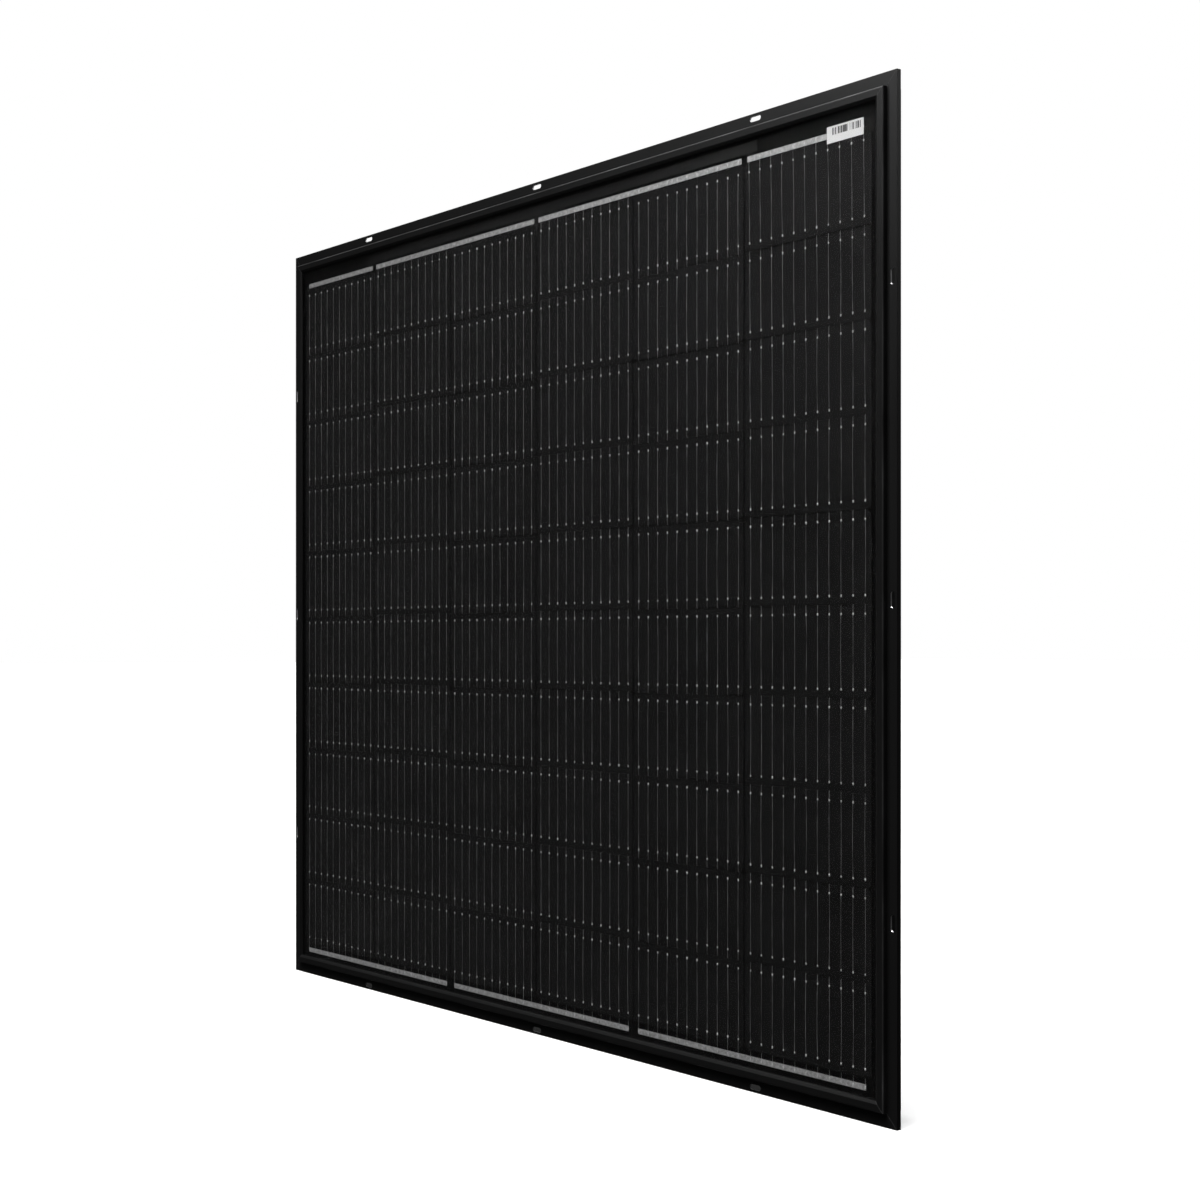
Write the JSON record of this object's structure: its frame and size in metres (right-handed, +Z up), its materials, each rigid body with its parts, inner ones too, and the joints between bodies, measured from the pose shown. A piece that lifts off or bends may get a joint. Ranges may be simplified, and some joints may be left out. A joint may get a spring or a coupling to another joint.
{
  "type": "solar panel",
  "caption": "Framed black solar panel of half-cut silicon cells behind glass, with a slotted outer flange for bolting down and a junction box on the back.",
  "frame": {"origin": "centre of the pattern of slots, in the plane of the flange's front face", "axes": "+X to the right seen from the front, +Y from front to rear, +Z up along the strings of cells, with the junction box at the top"},
  "size_m": [1.168, 0.025, 1.013],
  "materials": {
    "frame": "black anodised, satin, fine extrusion lines",
    "corner_key": "mill finish, stamped",
    "edge_seal": "black silicone, matt",
    "front_glass": "tempered, low iron, anti-reflective, smooth",
    "encapsulant": "clear laminated film",
    "cell": "blue-black silicon with fine silver fingers",
    "wire": "tinned copper wire, soldered",
    "ribbon": "tinned copper ribbon, satin",
    "insulation": "black film, matt",
    "backsheet": "black film, fine embossed texture",
    "serial_label": null,
    "rating_label": "silver film with empty boxes",
    "box_plastic": "black moulded plastic, fine spark texture",
    "box_adhesive": "dark silicone adhesive",
    "box_rubber": "dark elastomer, matt",
    "terminal": "copper alloy, stamped, part tinned",
    "diode": "black epoxy body, tinned feet"
  },
  "bodies": {
    "panel": {"frame_top": "frame", "frame_bottom": "frame", "frame_left": "frame", "frame_right": "frame", "corner_key_top_left": "corner_key", "corner_key_top_right": "corner_key", "corner_key_bottom_left": "corner_key", "corner_key_bottom_right": "corner_key", "edge_seal": "edge_seal", "front_glass": "front_glass", "front_encapsulant": "encapsulant", "cell_string_1": "cell", "cell_string_2": "cell", "cell_string_3": "cell", "cell_string_4": "cell", "cell_string_5": "cell", "cell_string_6": "cell", "wires_1": "wire", "wires_2": "wire", "wires_3": "wire", "wires_4": "wire", "wires_5": "wire", "wires_6": "wire", "ribbon_top_1": "ribbon", "ribbon_top_2": "ribbon", "ribbon_top_3": "ribbon", "ribbon_top_4": "ribbon", "ribbon_bottom_1": "ribbon", "ribbon_bottom_2": "ribbon", "ribbon_bottom_3": "ribbon", "lead_1": "ribbon", "lead_2": "ribbon", "lead_3": "ribbon", "lead_4": "ribbon", "insulation_strip": "insulation", "insulation_patch": "insulation", "rear_encapsulant": "encapsulant", "backsheet": "backsheet", "serial_label": "serial_label", "rating_label": "rating_label", "junction_box_base": "box_plastic", "junction_box_adhesive": "box_adhesive", "junction_box_seal": "box_rubber", "terminal_1": "terminal", "terminal_2": "terminal", "terminal_3": "terminal", "terminal_4": "terminal", "diode_1": "diode", "diode_2": "diode", "diode_3": "diode", "gland_body_left": "box_plastic", "gland_seal_left": "box_rubber", "gland_nut_left": "box_plastic", "gland_body_right": "box_plastic", "gland_seal_right": "box_rubber", "gland_nut_right": "box_plastic"},
    "junction_box_lid": {"junction_box_lid": "box_plastic"}
  },
  "joints": [
    {"name": "lid_pull", "type": "slide", "parent": "panel", "child": "junction_box_lid", "axis": [0, 1, 0], "range_m": [0, 0.05]}
  ]
}
